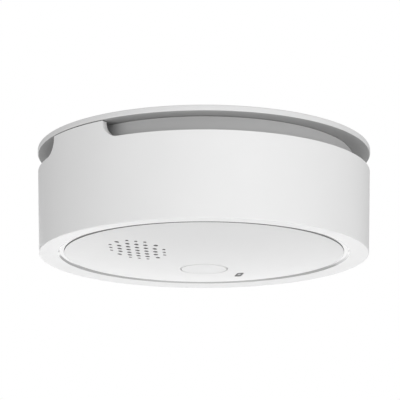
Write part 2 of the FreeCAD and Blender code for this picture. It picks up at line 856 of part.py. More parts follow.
def battery_pad():
    """Foam strip between the cell and the drum's roof."""
    body = new_body("battery_pad")
    top = S.battery_depth + ROOF_UNDER - CLEARANCE
    pad(body, box(0, 0, 12, 4), S.battery_radius + CLEARANCE, top)
    battery_place(body)
    return body


# ---------------------------------------------------------------- smoke chamber


CHAMBER_FLOOR = BOARD_TOP + CLEARANCE
CHAMBER_DECK = BOARD_TOP + 1.6
DIODE_LEVEL = BOARD_TOP + S.diode_height
LID_THICKNESS = 1.2
EMITTER_TURN = 0
DETECTOR_TURN = 120


def chamber_place(body):
    place(body, S.chamber_x, S.chamber_y)


def chamber_base():
    """Floor of the optical chamber with the holders of the emitter and the photodiode."""
    body = new_body("chamber_base")
    pad(body, disc(0, 0, S.chamber_radius), CHAMBER_FLOOR, CHAMBER_DECK)
    for turn in (EMITTER_TURN, DETECTOR_TURN):
        pad(body, box(-13.5, 0, 2.5, 4), CHAMBER_DECK - THROUGH, DIODE_LEVEL + 3.5, turn=turn)
        side_pocket(body, disc(0, DIODE_LEVEL, S.diode_radius + CLEARANCE), 18, turn=turn, role="YZ_Plane")
    chamber_place(body)
    return body


def chamber_cover():
    """Lid of the chamber with the ring of slanted vanes that keeps light out and lets smoke in."""
    body = new_body("chamber_cover")
    lid_top = -S.chamber_top
    pad(body, disc(0, 0, S.chamber_radius), lid_top - LID_THICKNESS, lid_top)
    inner = S.chamber_radius - 4.9
    outer = S.chamber_radius - 0.9
    slant = [(inner, size(-2.2)), (inner + 0.8, size(-2.6)), (outer, size(1.6)), (outer - 0.8, size(2))]
    vane = pad(body, lambda s: outline(s, slant), CHAMBER_DECK + CLEARANCE, lid_top - LID_THICKNESS / 2)
    around(body, [vane], 24)
    chamber_place(body)
    return body


def insect_screen():
    """Perforated band round the vanes."""
    body = new_body("insect_screen")
    top = -S.chamber_top - LID_THICKNESS - CLEARANCE
    bottom = CHAMBER_DECK + CLEARANCE
    outer = S.chamber_radius - 0.1
    pad(body, annulus(0, 0, outer - 0.3, outer), bottom, top)

    def meshes(sketch):
        half_width, height, pitch = size(1.2), 2.3, 3.1
        for row in range(4):
            low = bottom + 0.9 + pitch * row
            rectangle(sketch, -half_width, half_width, low, low + height)
    opening = side_pocket(body, meshes, 3, offset=outer + 1, role="YZ_Plane")
    around(body, [opening], 36)
    chamber_place(body)
    return body


def round_diode(label, turn):
    """Through-hole diode lying in its holder with its domed end towards the chamber's centre."""
    body = new_body(label)
    back, shoulder, tip = size(-17.4), size(-11.2), size(-8.9)
    turned(body, [(size(0), back), (S.diode_radius, back), (S.diode_radius, shoulder),
                  (S.diode_radius - 0.8, tip - 0.7), (size(0), tip)])
    place(body, S.chamber_x, S.chamber_y, DIODE_LEVEL)
    lay_down(body, turn)
    return body


def photodiode_shield():
    """Folded metal can over the photodiode's holder."""
    body = new_body("photodiode_shield")
    low = CHAMBER_DECK + CLEARANCE
    high = DIODE_LEVEL + 4.2
    sheet_metal = 0.4
    half_x, half_y = 3.6, 4.6
    pad(body, box(-13.2, 0, half_x, half_y), low, high, turn=DETECTOR_TURN)
    pocket(body, box(-13.2, 0, half_x - sheet_metal, half_y - sheet_metal), low, high - sheet_metal,
           turn=DETECTOR_TURN)
    side_pocket(body, disc(0, DIODE_LEVEL, S.diode_radius + 0.5), 30, turn=DETECTOR_TURN, role="YZ_Plane")
    chamber_place(body)
    return body


# ---------------------------------------------------------------- sounder


PIEZO_LEVEL = SOUNDER_BOTTOM + 3.4
DISC_THICKNESS = 0.3
CERAMIC_THICKNESS = 0.25


def sounder_place(body):
    place(body, S.grille_x, S.grille_y)


def sounder_housing():
    """Round resonator with a ledge for the piezo disc and a mouth towards the sounder holes."""
    body = new_body("sounder_housing")
    top = BOARD_UNDER - CLEARANCE
    floor = SOUNDER_BOTTOM + 1.2
    outer = S.sounder_radius
    bore, ledge, mouth = outer - 1.8, outer - 2.8, size(5)
    turned(body, [(mouth, SOUNDER_BOTTOM), (outer, SOUNDER_BOTTOM), (outer, top), (bore, top),
                  (bore, PIEZO_LEVEL), (ledge, PIEZO_LEVEL), (ledge, floor), (mouth, floor)])
    sounder_place(body)
    return body


def piezo_disc():
    """Brass disc that rests on the resonator's ledge."""
    body = new_body("piezo_disc")
    low = PIEZO_LEVEL + CLEARANCE
    pad(body, disc(0, 0, S.sounder_radius - 1.9), low, low + DISC_THICKNESS)
    sounder_place(body)
    return body


def piezo_ceramic():
    """Ceramic plate on the brass disc."""
    body = new_body("piezo_ceramic")
    low = PIEZO_LEVEL + CLEARANCE * 2 + DISC_THICKNESS
    pad(body, disc(0, 0, S.sounder_radius - 6), low, low + CERAMIC_THICKNESS)
    sounder_place(body)
    return body


def sounder_contacts():
    """Three spring pins between the board and the piezo disc."""
    body = new_body("sounder_contacts")
    low = PIEZO_LEVEL + CLEARANCE * 3 + DISC_THICKNESS + CERAMIC_THICKNESS

    def pins(sketch):
        for spacing in (-4, 0, 4):
            circle(sketch, spacing, 0, 0.6)
    pad(body, pins, low, BOARD_UNDER - CLEARANCE)
    sounder_place(body)
    return body


def sounder_gasket():
    """Foam ring between the resonator and its seat on the panel."""
    body = new_body("sounder_gasket")
    pad(body, annulus(0, 0, S.sounder_radius - 3.4, S.sounder_radius), GASKET_BOTTOM + CLEARANCE,
        SOUNDER_BOTTOM - CLEARANCE)
    sounder_place(body)
    return body


# ---------------------------------------------------------------- build, check and write


def build():
    return [
        mounting_plate(), rear_housing(), front_cover(), front_panel(), assembly_screws(), test_button(),
        button_spring(), switch_body(), switch_plunger(), indicator_lens(), status_led(), led_shroud(),
        main_board(), microcontroller(), boost_inductor(), storage_capacitor(), battery_cell(),
        battery_cradle(), battery_tab("battery_tab_positive", 1), battery_tab("battery_tab_negative", -1),
        battery_pad(), chamber_base(), chamber_cover(), insect_screen(),
        round_diode("infrared_emitter", 0), round_diode("photodiode", 120), photodiode_shield(),
        sounder_housing(), piezo_disc(), piezo_ceramic(), sounder_contacts(), sounder_gasket(),
        grille_membrane(),
    ]


def check_and_write(bodies):
    doc.recompute()
    failed = [item.Label for item in doc.Objects if {"Invalid", "Error"} & set(item.State)]
    failed += [body.Label for body in bodies if body.Shape.isNull() or not body.Shape.isValid()]
    if failed:
        raise RuntimeError("failed: " + ", ".join(failed))
    os.makedirs("parts", exist_ok=True)
    for body in bodies:
        body.Shape.exportStep("parts/%s.step" % body.Label)
        print("%-22s %2d solids %10.1f mm3" % (body.Label, len(body.Shape.Solids), body.Shape.Volume))


check_and_write(build())
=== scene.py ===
"""The looks of a white ceiling smoke alarm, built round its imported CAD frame. Lengths are in metres."""
import math
import bmesh
import bpy
from mathutils import Matrix, Vector
from mathutils.geometry import delaunay_2d_cdt


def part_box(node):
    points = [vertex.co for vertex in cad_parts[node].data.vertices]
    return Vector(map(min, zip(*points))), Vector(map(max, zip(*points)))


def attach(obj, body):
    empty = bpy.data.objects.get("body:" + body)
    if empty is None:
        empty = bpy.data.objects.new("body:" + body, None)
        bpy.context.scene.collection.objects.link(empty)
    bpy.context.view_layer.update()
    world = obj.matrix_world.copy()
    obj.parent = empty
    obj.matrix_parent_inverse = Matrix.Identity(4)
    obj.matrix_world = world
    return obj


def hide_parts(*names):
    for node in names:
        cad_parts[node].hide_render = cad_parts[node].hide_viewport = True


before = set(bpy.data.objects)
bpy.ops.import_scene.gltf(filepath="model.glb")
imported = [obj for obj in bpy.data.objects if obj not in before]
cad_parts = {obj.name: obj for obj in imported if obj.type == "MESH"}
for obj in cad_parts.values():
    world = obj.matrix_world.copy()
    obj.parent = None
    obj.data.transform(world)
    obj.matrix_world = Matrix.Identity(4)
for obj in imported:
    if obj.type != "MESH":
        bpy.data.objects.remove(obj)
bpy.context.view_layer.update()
scene = bpy.context.scene
scene.view_settings.view_transform = "Standard"

MM = 0.001
TURN = 2 * math.pi
SEGMENTS = 288

# ---------------------------------------------------------------- sizes read from the frame

plate_low, plate_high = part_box("mounting_plate")
cover_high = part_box("front_cover")[1]
panel_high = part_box("front_panel")[1]
button_low, button_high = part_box("test_button")
drum_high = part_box("rear_housing")[1]
membrane_low, membrane_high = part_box("grille_membrane")
lens_low, lens_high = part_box("indicator_lens")

PLATE_RADIUS = plate_high.x
PLATE_UNDER = -2.0 * MM
HOOK_BOTTOM = plate_low.z
RIM_TOP = cover_high.z
RING_FACE = -38.3 * MM
RING_EDGE = RING_FACE + 0.5 * MM
GROOVE_DEPTH = 0.6 * MM
RING_RADIUS = 58.75 * MM
COVER_RADIUS = 59.9 * MM
COVER_WALL = 2.4 * MM
SLOT_FLOOR = PLATE_UNDER - 6.5 * MM
LUG_HALF = 13.1 * MM
LUG_CORNER = 6.0 * MM
LUG_ANGLES = (math.radians(44.35), math.radians(224.35))
RING_BACK = RING_FACE + 2.7 * MM
RING_INNER = 52.0 * MM
LIP_RADIUS = 48.0 * MM
SPACER_HEIGHT = 10.2 * MM
LIP_UNDER = RING_BACK - 1.0 * MM
PANEL_RADIUS = panel_high.x
PANEL_THICKNESS = 1.8 * MM
APEX = -43.2 * MM
DOME_CURVE = 220.0 * MM
BUTTON_RADIUS = 8.15 * MM
BUTTON_HOLE = BUTTON_RADIUS + 0.25 * MM
BUTTON_FLANGE = button_high.x
POST_CIRCLE = 44.0 * MM
GRILLE = (membrane_low + membrane_high) / 2
GRILLE_PITCH = 3.08 * MM
GRILLE_CORNER = 3.35 * MM
LENS = (lens_low + lens_high) / 2
LENS_HALF = (1.25 * MM, 4.7 * MM)
LENS_TURN = math.radians(9)
STEM_RADIUS = 2.6 * MM
SCREW_SLOT_PLACE = 30 * MM
SCREW_SLOT_HALF = (2.2 * MM, 5 * MM)


def dome(radius, inset=0.0):
    """Height of the panel's outer dome at a distance from the axis."""
    return APEX + inset + radius * radius / (2 * DOME_CURVE)


# ---------------------------------------------------------------- mesh helpers


def finish_mesh(name, verts, faces, smooth_angle=32):
    """A mesh object with smooth shading broken at sharp edges."""
    mesh = bpy.data.meshes.new(name)
    mesh.from_pydata([tuple(v) for v in verts], [], faces)
    piece = bpy.data.objects.new(name, mesh)
    scene.collection.objects.link(piece)
    tidy_mesh(piece, smooth_angle)
    return piece


def tidy_mesh(piece, smooth_angle=32):
    """Joined vertices, outward faces and smooth shading that stops at sharp edges."""
    mesh = piece.data
    work = bmesh.new()
    work.from_mesh(mesh)
    bmesh.ops.remove_doubles(work, verts=work.verts, dist=1e-7)
    bmesh.ops.recalc_face_normals(work, faces=work.faces)
    work.to_mesh(mesh)
    work.free()
    mesh.validate()
    for polygon in mesh.polygons:
        polygon.use_smooth = True
    mesh.set_sharp_from_angle(angle=math.radians(smooth_angle))


def weighted_normals(piece):
    """Shading that keeps large faces flat beside their rounded edges."""
    modifier = piece.modifiers.new("weighted", "WEIGHTED_NORMAL")
    modifier.keep_sharp = True
    modifier.weight = 80


def rounded(corners, steps=4):
    """Outline through (x, y, radius) corners with each corner rounded to its radius."""
    points = []
    count = len(corners)
    for index, (x, y, radius) in enumerate(corners):
        here = Vector((x, y))
        if radius <= 0:
            points.append((x, y))
            continue
        before = (Vector(corners[index - 1][:2]) - here).normalized()
        after = (Vector(corners[(index + 1) % count][:2]) - here).normalized()
        half = before.angle(after) / 2
        centre = here + (before + after).normalized() * (radius / math.sin(half))
        start = here + before * (radius / math.tan(half)) - centre
        end = here + after * (radius / math.tan(half)) - centre
        sweep = start.angle_signed(end)
        for step in range(steps + 1):
            turned = Matrix.Rotation(-sweep * step / steps, 2) @ start
            points.append(tuple(centre + turned))
    return points


def lathe(profile, x=0.0, y=0.0, count=SEGMENTS, start=0.0, sweep=TURN):
    """Vertices and faces of a closed radius-height profile turned about an upright axis at x, y."""
    whole = sweep >= TURN - 1e-6
    columns = count if whole else count + 1
    verts = []
    faces = []
    for column in range(columns):
        angle = start + sweep * column / count
        for radius, level in profile:
            verts.append((x + radius * math.cos(angle), y + radius * math.sin(angle), level))
    rows = len(profile)
    for column in range(count):
        after = (column + 1) % columns
        for row in range(rows):
            up = (row + 1) % rows
            if profile[row][0] < 1e-9 and profile[up][0] < 1e-9:
                continue
            face = [column * rows + row, after * rows + row, after * rows + up, column * rows + up]
            if profile[row][0] < 1e-9:
                face.pop(1)
            elif profile[up][0] < 1e-9:
                face.pop(2)
            faces.append(face)
    if not whole:
        faces.append(list(range(rows)))
        faces.append([count * rows + row for row in range(rows)])
    return verts, faces


def merge(*shells):
    """One list of vertices and one of faces for several closed shells."""
    verts = []
    faces = []
    for shell_verts, shell_faces in shells:
        base = len(verts)
        verts += shell_verts
        faces += [[index + base for index in face] for face in shell_faces]
    return verts, faces


def ring_points(x, y, radius, count):
    """Points on a circle."""
    return [(x + radius * math.cos(TURN * i / count), y + radius * math.sin(TURN * i / count))
            for i in range(count)]


def pill_points(x, y, half_width, half_length, count=32, along_x=False):
    """A slot shape with round ends."""
    reach = half_length - half_width
    points = []
    for i in range(count):
        angle = TURN * (i + 0.5) / count
        across = half_width * math.cos(angle)
        along = half_width * math.sin(angle) + (reach if math.sin(angle) > 0 else -reach)
        points.append((x + along, y - across) if along_x else (x + across, y + along))
    return points


def lens_points(margin=0.0):
    """The lens outline, widened by a margin and turned with the lens."""
    upright = pill_points(0, 0, LENS_HALF[0] + margin, LENS_HALF[1] + margin, 40)
    cos, sin = math.cos(LENS_TURN), math.sin(LENS_TURN)
    return [(LENS.x + x * cos - y * sin, LENS.y + x * sin + y * cos) for x, y in upright]


def sector_points(inner, outer, middle, half_angle, count=10):
    """Outline of a piece of a ring about the axis."""
    points = [(inner * math.cos(middle + half_angle * (2 * i / count - 1)),
               inner * math.sin(middle + half_angle * (2 * i / count - 1))) for i in range(count, -1, -1)]
    points += [(outer * math.cos(middle + half_angle * (2 * i / count - 1)),
                outer * math.sin(middle + half_angle * (2 * i / count - 1))) for i in range(count + 1)]
    return points


def away(points, outside):
    """Unit directions at each outline point, away from the material."""
    area = sum(a[0] * b[1] - b[0] * a[1] for a, b in zip(points, points[1:] + points[:1]))
    sign = 1 if (area > 0) == outside else -1
    directions = []
    for index, point in enumerate(points):
        before = Vector(point) - Vector(points[index - 1])
        after = Vector(points[(index + 1) % len(points)]) - Vector(point)
        normals = [Vector((d.y, -d.x)).normalized() * sign for d in (before, after)]
        bisector = (normals[0] + normals[1]).normalized()
        directions.append(bisector / max(0.5, bisector.dot(normals[0])))
    return directions


def perforated(rim, holes, low, high, spacing, steps=3):
    """A closed sheet between two height functions, with rounded edges at its rim and at each hole.

    rim and each hole are (points, rounding below, rounding above).
    """
    loops = [(points, away(points, index == 0), soft_low, soft_high)
             for index, (points, soft_low, soft_high) in enumerate([rim] + holes)]
    flat = []
    edges = []
    spans = []
    for points, outward, soft_low, _ in loops:
        base = len(flat)
        flat += [Vector(p) - n * soft_low for p, n in zip(points, outward)]
        edges += [(base + i, base + (i + 1) % len(points)) for i in range(len(points))]
        spans.append((base, len(points)))
    flat += interior_points(loops, spacing)
    verts2, _, faces2, origin, _, _ = delaunay_2d_cdt(flat, edges, [], 0, 1e-9)
    where = {}
    for index, sources in enumerate(origin):
        for source in sources:
            where[source] = index
    polygons = [[flat[base + i] for i in range(count)] for base, count in spans]
    kept = [f for f in faces2 if belongs(sum((verts2[i] for i in f), Vector((0, 0))) / len(f), polygons)]
    verts = [(v.x, v.y, low(v.length)) for v in verts2]
    upper = len(verts)
    verts += [(v.x, v.y, high(v.length)) for v in verts2]
    faces = [list(f) for f in kept] + [[i + upper for i in reversed(f)] for f in kept]
    for (points, outward, soft_low, soft_high), (base, count) in zip(loops, spans):
        rows = [[where[base + i] for i in range(count)]]
        for step in range(1, steps + 1):
            turn = math.pi / 2 * step / steps
            rows.append(add_row(verts, points, outward, soft_low * (1 - math.sin(turn)),
                                low, soft_low * (1 - math.cos(turn))))
        for step in range(steps):
            turn = math.pi / 2 * step / steps
            rows.append(add_row(verts, points, outward, soft_high * (1 - math.cos(turn)),
                                high, -soft_high * (1 - math.sin(turn))))
        top = [where[base + i] + upper for i in range(count)]
        for index, (p, n) in zip(top, zip(points, outward)):
            spot = Vector(p) - n * soft_high
            verts[index] = (spot.x, spot.y, high(spot.length))
        rows.append(top)
        for lower_row, upper_row in zip(rows, rows[1:]):
            for i in range(count):
                j = (i + 1) % count
                faces.append([lower_row[i], lower_row[j], upper_row[j], upper_row[i]])
    return verts, faces


def add_row(verts, points, outward, back, level, rise):
    """One row of vertices along an outline, set back from it and raised above a height function."""
    first = len(verts)
    for p, n in zip(points, outward):
        spot = Vector(p) - n * back
        verts.append((spot.x, spot.y, level(spot.length) + rise))
    return list(range(first, len(verts)))


def inside(point, polygon):
    """True when a ray from the point crosses the polygon an odd number of times."""
    crossings = 0
    for a, b in zip(polygon, polygon[1:] + polygon[:1]):
        if (a.y > point.y) != (b.y > point.y):
            if point.x < a.x + (point.y - a.y) / (b.y - a.y) * (b.x - a.x):
                crossings += 1
    return crossings % 2 == 1


def belongs(point, polygons):
    """True inside the rim and outside every hole; a hole is looked into only when it is near."""
    if not inside(point, polygons[0]):
        return False
    for polygon in polygons[1:]:
        near = max(abs(point.x - polygon[0].x), abs(point.y - polygon[0].y))
        if near < 25 * MM and inside(point, polygon):
            return False
    return True


def interior_points(loops, spacing):
    """Points on rings about the axis that keep clear of every outline."""
    taken = [Vector(p) for points, _, _, _ in loops for p in points]
    grid = {}
    for p in taken:
        grid.setdefault((round(p.x / spacing), round(p.y / spacing)), []).append(p)
    polygons = [[Vector(p) for p in points] for points, _, _, _ in loops]
    reach = max(p.length for p in polygons[0])
    found = []
    rings = int(reach / spacing)
    for ring in range(rings + 1):
        radius = ring * spacing
        count = max(1, round(TURN * radius / spacing))
        for i in range(count):
            angle = TURN * (i + 0.5 * (ring % 2)) / count
            spot = Vector((radius * math.cos(angle), radius * math.sin(angle)))
            cell = (round(spot.x / spacing), round(spot.y / spacing))
            near = [p for dx in (-1, 0, 1) for dy in (-1, 0, 1)
                    for p in grid.get((cell[0] + dx, cell[1] + dy), [])]
            if all((p - spot).length > spacing * 0.45 for p in near) and belongs(spot, polygons):
                found.append(spot)
    return found


# ---------------------------------------------------------------- materials


def new_material(name):
    """A node material with its nodes, links and surface shader."""
    material = bpy.data.materials.new(name)
    material.use_nodes = True
    nodes = material.node_tree.nodes
    return material, nodes, material.node_tree.links, nodes["Principled BSDF"]


def add(nodes, kind, **values):
    """A shader node with some of its inputs or settings filled in."""
    node = nodes.new("ShaderNode" + kind)
    for key, value in values.items():
        if key in node.inputs:
            node.inputs[key].default_value = value
        else:
            setattr(node, key, value)
    return node


def object_noise(nodes, links, scale, detail=3.0, rough=0.5):
    """Noise fixed to the object's own coordinates."""
    place = nodes.get("place") or nodes.new("ShaderNodeTexCoord")
    place.name = "place"
    noise = add(nodes, "TexNoise", Scale=scale, Detail=detail, Roughness=rough)
    links.new(place.outputs["Object"], noise.inputs["Vector"])
    return noise


def ramp(nodes, links, source, low, high, start=0.3, end=0.7):
    """Map a noise onto a range of grey or colour."""
    mix = nodes.new("ShaderNodeValToRGB")
    mix.color_ramp.elements[0].position = start
    mix.color_ramp.elements[1].position = end
    mix.color_ramp.elements[0].color = low
    mix.color_ramp.elements[1].color = high
    links.new(source, mix.inputs["Fac"])
    return mix.outputs["Color"]


def grey(value):
    return (value, value, value, 1.0)


def moulded(name, colour, roughness=0.42, grain=0.02, spread=0.015, scale=2600, specular=0.5):
    """Injection moulded plastic: a faint cloudiness, uneven gloss and a fine spark-eroded grain."""
    material, nodes, links, shader = new_material(name)
    cloud = object_noise(nodes, links, 60, 4)
    darker = tuple(c * (1 - spread) for c in colour) + (1.0,)
    links.new(ramp(nodes, links, cloud.outputs["Fac"], darker, tuple(colour) + (1.0,)),
              shader.inputs["Base Color"])
    gloss = object_noise(nodes, links, 240, 3)
    links.new(ramp(nodes, links, gloss.outputs["Fac"], grey(roughness - 0.03), grey(roughness + 0.03)),
              shader.inputs["Roughness"])
    fine = object_noise(nodes, links, scale, 2)
    bump = add(nodes, "Bump", Strength=grain, Distance=0.05 * MM)
    links.new(fine.outputs["Fac"], bump.inputs["Height"])
    links.new(bump.outputs["Normal"], shader.inputs["Normal"])
    shader.inputs["Specular IOR Level"].default_value = specular
    return material


def metal(name, colour, roughness=0.3, scale=900, stretch=None):
    """Metal with fine rolling or drawing marks."""
    material, nodes, links, shader = new_material(name)
    shader.inputs["Metallic"].default_value = 1.0
    marks = object_noise(nodes, links, scale, 4)
    if stretch:
        scaling = add(nodes, "Mapping")
        scaling.inputs["Scale"].default_value = stretch
        links.new(nodes["place"].outputs["Object"], scaling.inputs["Vector"])
        links.new(scaling.outputs["Vector"], marks.inputs["Vector"])
    darker = tuple(c * 0.82 for c in colour) + (1.0,)
    links.new(ramp(nodes, links, marks.outputs["Fac"], darker, tuple(colour) + (1.0,)),
              shader.inputs["Base Color"])
    links.new(ramp(nodes, links, marks.outputs["Fac"], grey(roughness + 0.1), grey(roughness - 0.05)),
              shader.inputs["Roughness"])
    return material


def foam(name, colour):
    """Closed cell foam: small dark pores over a matt skin."""
    material, nodes, links, shader = new_material(name)
    place = nodes.new("ShaderNodeTexCoord")
    cells = add(nodes, "TexVoronoi", Scale=2500)
    links.new(place.outputs["Object"], cells.inputs["Vector"])
    dark = tuple(c * 0.45 for c in colour) + (1.0,)
    links.new(ramp(nodes, links, cells.outputs["Distance"], tuple(colour) + (1.0,), dark),
              shader.inputs["Base Color"])
    bump = add(nodes, "Bump", Strength=0.6, Distance=0.1 * MM)
    links.new(cells.outputs["Distance"], bump.inputs["Height"])
    links.new(bump.outputs["Normal"], shader.inputs["Normal"])
    shader.inputs["Roughness"].default_value = 0.9
    return material


def weave(name, light, dark, pitch):
    """Fine woven dust cloth."""
    material, nodes, links, shader = new_material(name)
    place = nodes.new("ShaderNodeTexCoord")
    height = None
    for direction in ("X", "Y"):
        wave = add(nodes, "TexWave", Scale=1 / pitch / 3.14, Distortion=0.4)
        wave.bands_direction = direction
        links.new(place.outputs["Object"], wave.inputs["Vector"])
        if height is None:
            height = wave.outputs["Fac"]
        else:
            both = add(nodes, "Math", operation="MULTIPLY")
            links.new(height, both.inputs[0])
            links.new(wave.outputs["Fac"], both.inputs[1])
            height = both.outputs[0]
    links.new(ramp(nodes, links, height, grey(dark), grey(light), 0.1, 0.6), shader.inputs["Base Color"])
    shader.inputs["Roughness"].default_value = 0.85
    return material


def circuit_board(name):
    """Green solder mask with copper tracks showing faintly through it."""
    material, nodes, links, shader = new_material(name)
    place = nodes.new("ShaderNodeTexCoord")
    tracks = add(nodes, "TexBrick", Scale=220, offset=0.35)
    tracks.inputs["Color1"].default_value = (0.012, 0.13, 0.05, 1)
    tracks.inputs["Color2"].default_value = (0.02, 0.17, 0.06, 1)
    tracks.inputs["Mortar"].default_value = (0.03, 0.26, 0.10, 1)
    tracks.inputs["Mortar Size"].default_value = 0.06
    links.new(place.outputs["Object"], tracks.inputs["Vector"])
    links.new(tracks.outputs["Color"], shader.inputs["Base Color"])
    shader.inputs["Roughness"].default_value = 0.28
    return material


def clear_epoxy(name, colour, transmission=0.6):
    """Cast epoxy, slightly cloudy and partly see-through."""
    material, nodes, links, shader = new_material(name)
    cloud = object_noise(nodes, links, 400, 2)
    darker = tuple(c * 0.8 for c in colour) + (1.0,)
    links.new(ramp(nodes, links, cloud.outputs["Fac"], darker, tuple(colour) + (1.0,)),
              shader.inputs["Base Color"])
    shader.inputs["Roughness"].default_value = 0.12
    shader.inputs["Transmission Weight"].default_value = transmission
    return material


def smoked_window(name, dark, pale, half_width, half_length, shift):
    """Smoked plastic, paler in an oval a little off its middle."""
    material, nodes, links, shader = new_material(name)
    place = nodes.new("ShaderNodeTexCoord")
    centre = (LENS.x, LENS.y + shift, LENS.z)
    offset = add(nodes, "VectorMath", operation="SUBTRACT")
    offset.inputs[1].default_value = centre
    links.new(place.outputs["Object"], offset.inputs[0])
    turn = add(nodes, "VectorRotate", rotation_type="Z_AXIS", Angle=-LENS_TURN)
    links.new(offset.outputs["Vector"], turn.inputs["Vector"])
    stretch = add(nodes, "VectorMath", operation="MULTIPLY")
    stretch.inputs[1].default_value = (1 / half_width, 1 / half_length, 0)
    links.new(turn.outputs["Vector"], stretch.inputs[0])
    reach = add(nodes, "VectorMath", operation="LENGTH")
    links.new(stretch.outputs["Vector"], reach.inputs[0])
    links.new(ramp(nodes, links, reach.outputs["Value"], grey(pale), grey(dark), 0.75, 1.0),
              shader.inputs["Base Color"])
    shader.inputs["Roughness"].default_value = 0.45
    shader.inputs["Specular IOR Level"].default_value = 0.12
    return material


shell_white = moulded("shell_white", (0.80, 0.80, 0.80))
panel_white = moulded("panel_white", (0.745, 0.745, 0.745))
# Painted shade: dark grey for the walls of the grille holes and the panel's rim wall, standing in for the
# shade inside them.
painted_recess_shade = moulded("painted_recess_shade", (0.25, 0.25, 0.25), roughness=0.7, grain=0.1)
# Painted shade with real gloss: the groove floor between ring and panel is darker than the shell to stand in
# for its shade; its low roughness is the plastic's gloss.
groove_gloss_painted_shade = moulded("groove_gloss_painted_shade", (0.50, 0.50, 0.50), roughness=0.12, specular=0.7)
plate_white = moulded("plate_white", (0.72, 0.72, 0.72), roughness=0.5)
# Painted shade: the plate's underside above the slot is greyer than the plate, standing in for the shade in
# the slot.
plate_under_painted_shade = moulded("plate_underside_painted_shade", (0.41, 0.41, 0.41), roughness=0.7, grain=0.06)
# Painted shade: the drum seen through the slot is greyer than the other white parts, standing in for the
# slot's shade.
drum_white = moulded("drum_white", (0.60, 0.60, 0.60), roughness=0.5)
button_white = moulded("button_white", (0.71, 0.71, 0.71), roughness=0.4)
smoked = smoked_window("smoked_window", 0.008, 0.45, 0.6 * MM, 1.7 * MM, -0.8 * MM)
membrane_cloth = weave("membrane_cloth", 0.25, 0.08, 0.12 * MM)

NODE_LOOKS = {
    "assembly_screws": metal("zinc_screw", (0.62, 0.63, 0.66), 0.3),
    "button_spring": metal("spring_wire", (0.5, 0.5, 0.52), 0.25, stretch=(1, 1, 0.1)),
    "switch_body": moulded("switch_black", (0.02, 0.02, 0.022), 0.4),
    "switch_plunger": moulded("plunger_black", (0.03, 0.03, 0.03), 0.35),
    "status_led": clear_epoxy("led_epoxy", (0.8, 0.9, 0.82)),
    "led_shroud": moulded("shroud_rubber", (0.015, 0.015, 0.015), 0.75, grain=0.2),
    "main_board": circuit_board("solder_mask"),
    "microcontroller": moulded("chip_epoxy", (0.018, 0.018, 0.02), 0.55, grain=0.1),
    "boost_inductor": moulded("ferrite", (0.045, 0.042, 0.045), 0.7, grain=0.25),
    "storage_capacitor": moulded("capacitor_sleeve", (0.02, 0.03, 0.08), 0.3),
    "battery_cell": moulded("cell_sleeve", (0.05, 0.12, 0.30), 0.35),
    "battery_cradle": moulded("cradle_black", (0.03, 0.03, 0.032), 0.5),
    "battery_tab_positive": metal("nickel_strip_a", (0.66, 0.63, 0.57), 0.3),
    "battery_tab_negative": metal("nickel_strip_b", (0.66, 0.63, 0.57), 0.3),
    "battery_pad": foam("pad_foam", (0.06, 0.06, 0.065)),
    "chamber_base": moulded("chamber_black", (0.012, 0.012, 0.012), 0.7, grain=0.2),
    "chamber_cover": moulded("chamber_lid_black", (0.012, 0.012, 0.012), 0.7, grain=0.2),
    "insect_screen": metal("etched_screen", (0.42, 0.42, 0.44), 0.4),
    "infrared_emitter": clear_epoxy("emitter_epoxy", (0.3, 0.35, 0.6)),
    "photodiode": moulded("diode_epoxy", (0.02, 0.02, 0.03), 0.15, grain=0.0),
    "photodiode_shield": metal("tinned_sheet", (0.68, 0.68, 0.7), 0.3),
    "sounder_housing": moulded("sounder_grey", (0.62, 0.62, 0.60), 0.5),
    "piezo_disc": metal("rolled_brass", (0.78, 0.56, 0.24), 0.28),
    "piezo_ceramic": moulded("silvered_ceramic", (0.72, 0.72, 0.70), 0.35),
    "sounder_contacts": metal("gold_plate", (0.9, 0.68, 0.3), 0.2),
    "sounder_gasket": foam("gasket_foam", (0.05, 0.05, 0.055)),
    # The drum's grey is painted shade from the slot.
    "rear_housing": drum_white,
}


def paint(piece, material):
    piece.data.materials.clear()
    piece.data.materials.append(material)


# ---------------------------------------------------------------- outer cover


def cover_rim():
    """The rim of the wall as (angle, heights) in order; two heights stand for a lug's upright side."""
    side = math.asin(LUG_HALF / COVER_RADIUS)
    entries = []
    for lug in LUG_ANGLES:
        flank = []
        for step in range(0, 11):
            turn = math.pi / 2 * step / 10
            across = LUG_HALF + LUG_CORNER * (1 - math.cos(turn))
            level = SLOT_FLOOR + LUG_CORNER * (1 - math.sin(turn))
            flank.append((math.asin(across / COVER_RADIUS), level))
        foot = flank[-1][0]
        for angle, level in reversed(flank[1:]):
            entries.append((lug - angle, [level]))
        entries.append((lug - side, [flank[0][1], RIM_TOP]))
        steps = 24
        for step in range(1, steps):
            entries.append((lug - side + 2 * side * step / steps, [RIM_TOP]))
        entries.append((lug + side, [RIM_TOP, flank[0][1]]))
        for angle, level in flank[1:]:
            entries.append((lug + angle, [level]))
        gap = math.pi - 2 * foot
        steps = 140
        for step in range(1, steps):
            entries.append((lug + foot + gap * step / steps, [SLOT_FLOOR]))
    return entries


def wall_radius(level):
    """Outer radius of the tapered wall."""
    share = (level - RING_FACE) / (RIM_TOP - RING_FACE)
    return RING_RADIUS + (COVER_RADIUS - RING_RADIUS) * share


